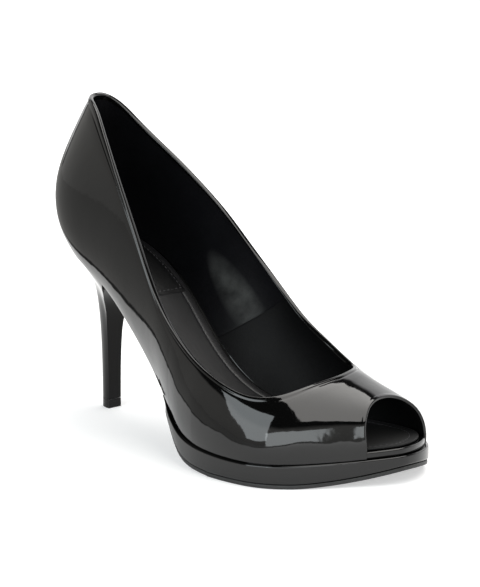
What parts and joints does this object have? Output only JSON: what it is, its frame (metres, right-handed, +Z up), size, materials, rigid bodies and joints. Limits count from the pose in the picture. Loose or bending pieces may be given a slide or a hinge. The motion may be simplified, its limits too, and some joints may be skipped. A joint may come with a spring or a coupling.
{
  "type": "peep toe pump",
  "caption": "Patent leather peep toe pump with a slim stiletto heel and a thin covered platform, right shoe.",
  "frame": {"origin": "on the floor, under the middle of the bounding box", "axes": "+X to the toe, +Y to the medial side of the foot, +Z up"},
  "size_m": [0.2244, 0.0944, 0.1596],
  "materials": {
    "patent_upper": "high gloss patent",
    "patent_insole": "gloss patent",
    "sock": "satin",
    "patent_platform": "high gloss patent",
    "outsole": "matte",
    "patent_heel": "high gloss patent cover",
    "top_piece": "satin"
  },
  "bodies": {
    "root": {"upper": "patent_upper", "insole": "patent_insole", "sock": "sock", "platform": "patent_platform", "outsole": "outsole", "heel": "patent_heel", "heel_tip": "top_piece"}
  },
  "joints": []
}
